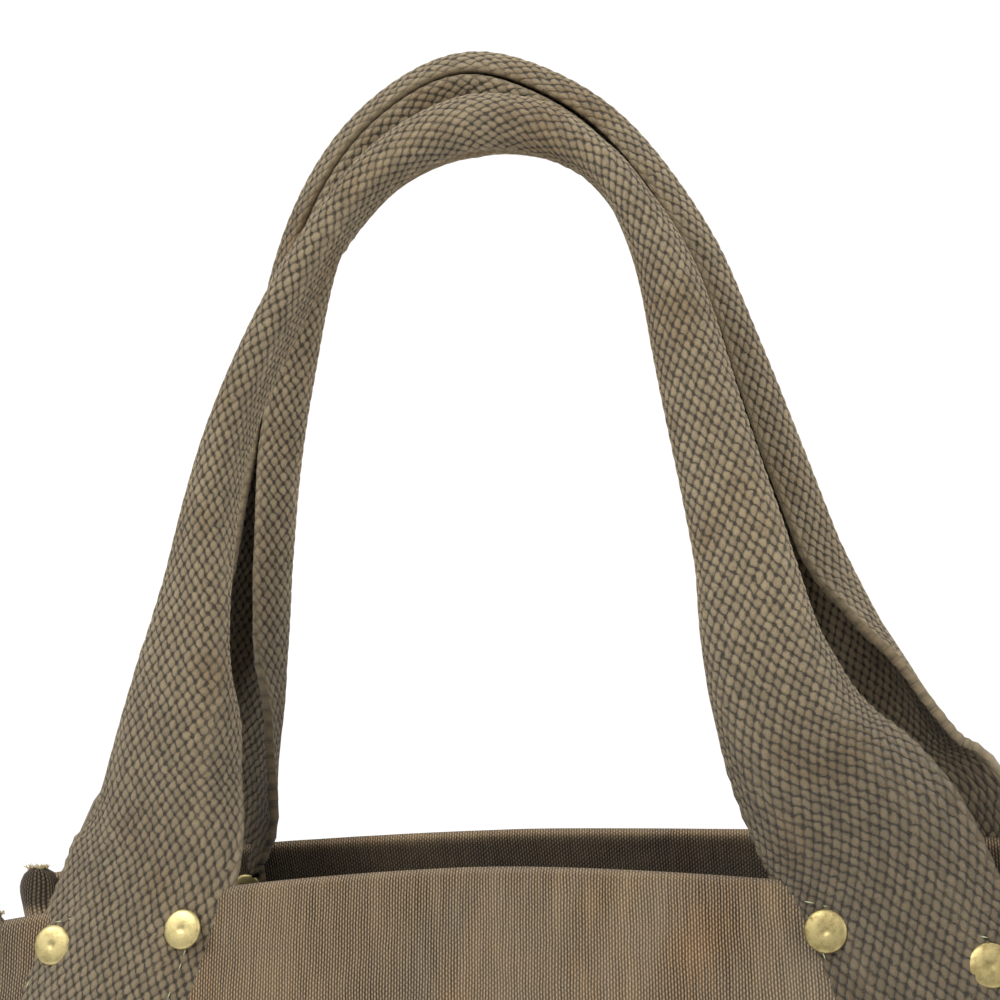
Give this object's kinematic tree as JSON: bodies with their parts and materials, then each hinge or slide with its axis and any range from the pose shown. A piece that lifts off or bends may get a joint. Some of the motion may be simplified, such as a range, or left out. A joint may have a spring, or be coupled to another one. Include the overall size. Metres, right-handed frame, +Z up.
{
  "type": "garden tool bag",
  "caption": "Open-topped canvas tool bag with two folded webbing handles, brass cap rivets, bound corner seams and outside tool pockets.",
  "frame": {"origin": "on the floor, under the middle of the base", "axes": "+X to the right seen from the front, -Y towards the front wall, +Z up"},
  "size_m": [0.296, 0.132, 0.4711],
  "materials": {
    "canvas": "washed duck canvas, matt, faintly ribbed",
    "lining": "plain cotton, matt",
    "webbing": "heavy basket-weave cotton webbing, matt",
    "binding_tape": "cotton tape, matt",
    "brass_rivets": "aged, satin",
    "stiffener": "matt sheet"
  },
  "bodies": {
    "bag": {"back_handle_left_foot": "webbing", "back_handle_right_foot": "webbing", "back_left_corner_binding": "binding_tape", "back_panel": "canvas", "back_pocket": "canvas", "back_pocket_binding": "binding_tape", "back_right_corner_binding": "binding_tape", "back_rivet_caps": "brass_rivets", "back_rivet_posts": "brass_rivets", "base_binding": "binding_tape", "base_board": "stiffener", "base_lining": "lining", "base_panel": "canvas", "front_handle_left_foot": "webbing", "front_handle_right_foot": "webbing", "front_left_corner_binding": "binding_tape", "front_panel": "canvas", "front_pocket": "canvas", "front_pocket_binding": "binding_tape", "front_right_corner_binding": "binding_tape", "front_rivet_caps": "brass_rivets", "front_rivet_posts": "brass_rivets", "left_gusset": "canvas", "left_pocket": "canvas", "left_pocket_binding": "binding_tape", "right_gusset": "canvas", "right_pocket": "canvas", "right_pocket_binding": "binding_tape"},
    "front_handle": {"front_handle_loop": "webbing"},
    "back_handle": {"back_handle_loop": "webbing"}
  },
  "joints": [
    {"name": "front_handle_fold", "type": "hinge", "parent": "bag", "child": "front_handle", "pos_m": [0, -0.02704, 0.26257], "axis": [1, 0, 0], "range_deg": [0, 150]},
    {"name": "back_handle_fold", "type": "hinge", "parent": "bag", "child": "back_handle", "pos_m": [0, 0.02704, 0.26257], "axis": [-1, 0, 0], "range_deg": [0, 150]}
  ]
}
